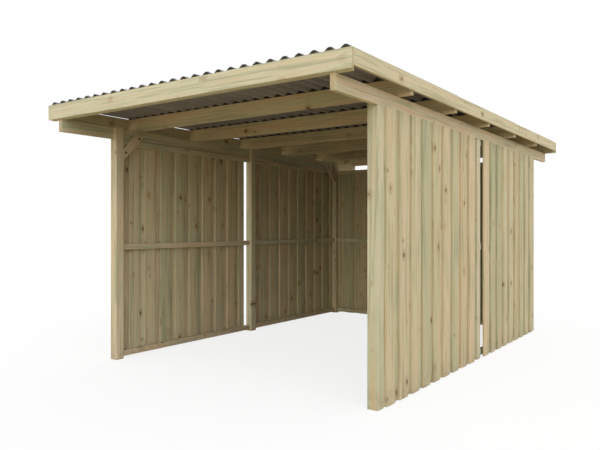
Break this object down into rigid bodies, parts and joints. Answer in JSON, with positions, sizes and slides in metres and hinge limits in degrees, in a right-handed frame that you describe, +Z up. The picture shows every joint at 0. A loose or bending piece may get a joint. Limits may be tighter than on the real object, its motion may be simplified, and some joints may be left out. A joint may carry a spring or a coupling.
{
  "type": "carport",
  "caption": "Open-front timber carport with boarded side and rear walls, square posts, two side beams, purlins and a flat corrugated roof.",
  "frame": {"origin": "on the ground, at the middle of the roof's outline", "axes": "+Z up, -Y towards the open front, +X towards the right-hand wall seen from the front"},
  "size_m": [3.51, 5.785, 2.6638],
  "materials": {
    "frame_timber": "planed, pressure-treated pine with knots",
    "wall_boards": "planed, pressure-treated pine boards with knots",
    "trim_boards": "planed, pressure-treated pine boards",
    "fixings": "dull zinc-plated screw heads, darker bolts",
    "roof_sheet": "dark grey corrugated sheet, dull"
  },
  "bodies": {
    "root": {"left_front_post": "frame_timber", "left_middle_post": "frame_timber", "left_rear_post": "frame_timber", "right_front_post": "frame_timber", "right_middle_post": "frame_timber", "right_rear_post": "frame_timber", "rear_middle_post": "frame_timber", "left_beam": "frame_timber", "right_beam": "frame_timber", "purlin_1": "frame_timber", "purlin_2": "frame_timber", "purlin_3": "frame_timber", "purlin_4": "frame_timber", "purlin_5": "frame_timber", "purlin_6": "frame_timber", "purlin_7": "frame_timber", "front_fascia": "trim_boards", "rear_fascia": "trim_boards", "left_barge_board": "trim_boards", "right_barge_board": "trim_boards", "roof_sheet_1": "roof_sheet", "roof_sheet_2": "roof_sheet", "roof_sheet_3": "roof_sheet", "roof_sheet_4": "roof_sheet", "left_front_boards": "wall_boards", "left_rear_boards": "wall_boards", "right_front_boards": "wall_boards", "right_rear_boards": "wall_boards", "rear_left_boards": "wall_boards", "rear_right_boards": "wall_boards", "left_front_rails": "frame_timber", "left_rear_rails": "frame_timber", "right_front_rails": "frame_timber", "right_rear_rails": "frame_timber", "rear_left_rails": "frame_timber", "rear_right_rails": "frame_timber", "left_front_brace": "frame_timber", "left_rear_brace": "frame_timber", "right_front_brace": "frame_timber", "right_rear_brace": "frame_timber"}
  },
  "joints": []
}
